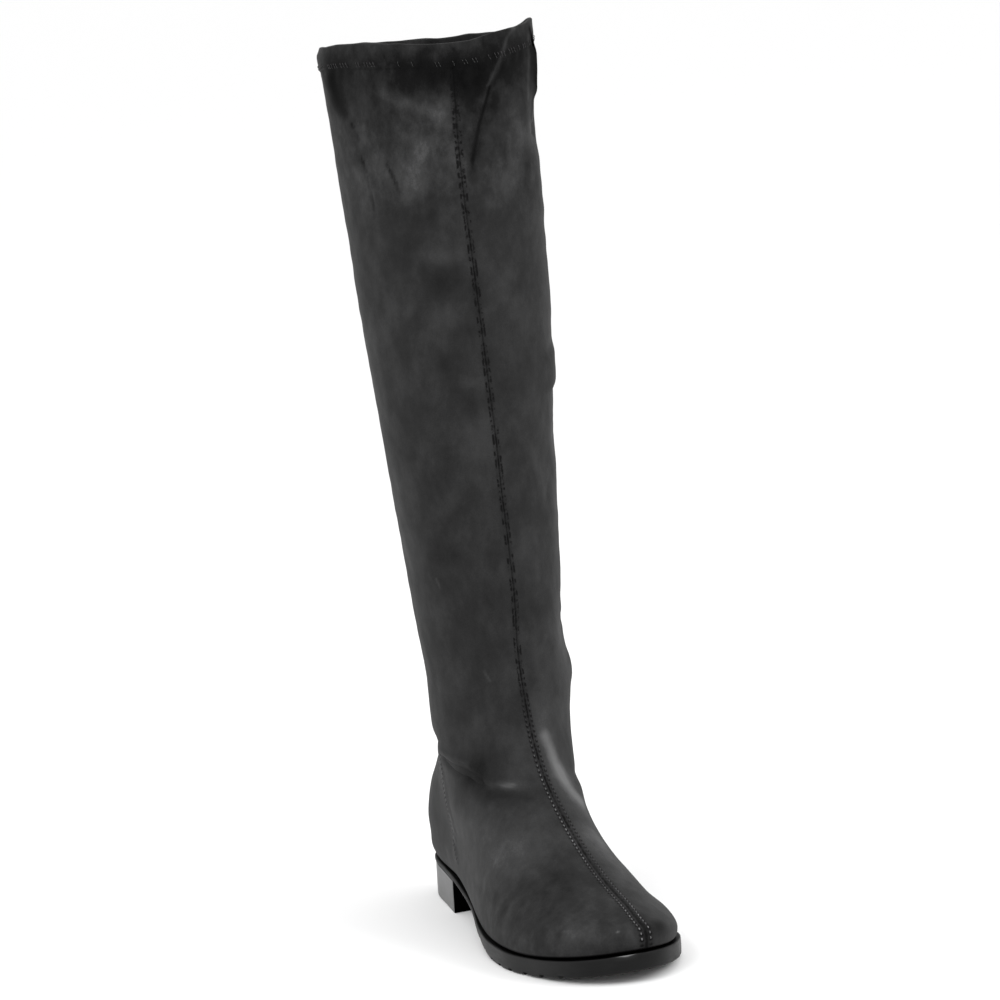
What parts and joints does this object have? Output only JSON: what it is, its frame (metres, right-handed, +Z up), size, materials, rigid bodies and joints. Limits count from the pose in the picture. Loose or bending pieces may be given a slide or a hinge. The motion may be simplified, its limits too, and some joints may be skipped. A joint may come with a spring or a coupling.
{
  "type": "knee-high boot",
  "caption": "Pull-on knee-high boot, right foot: soft slack shaft, round toe, low block heel, thin flexible sole with a grooved forefoot.",
  "frame": {"origin": "on the floor at the middle of the heel block's underside", "axes": "+X from the heel to the toe, +Y to the medial (inner) side, +Z up the shaft"},
  "size_m": [0.2645, 0.1156, 0.5178],
  "materials": {
    "microsuede": "napped, matte",
    "lining": "knitted, matte",
    "sole_rubber": "satin",
    "heel_plastic": "satin"
  },
  "bodies": {
    "root": {"upper": "microsuede", "insole": "lining", "outsole": "sole_rubber", "heel_block": "heel_plastic"}
  },
  "joints": []
}
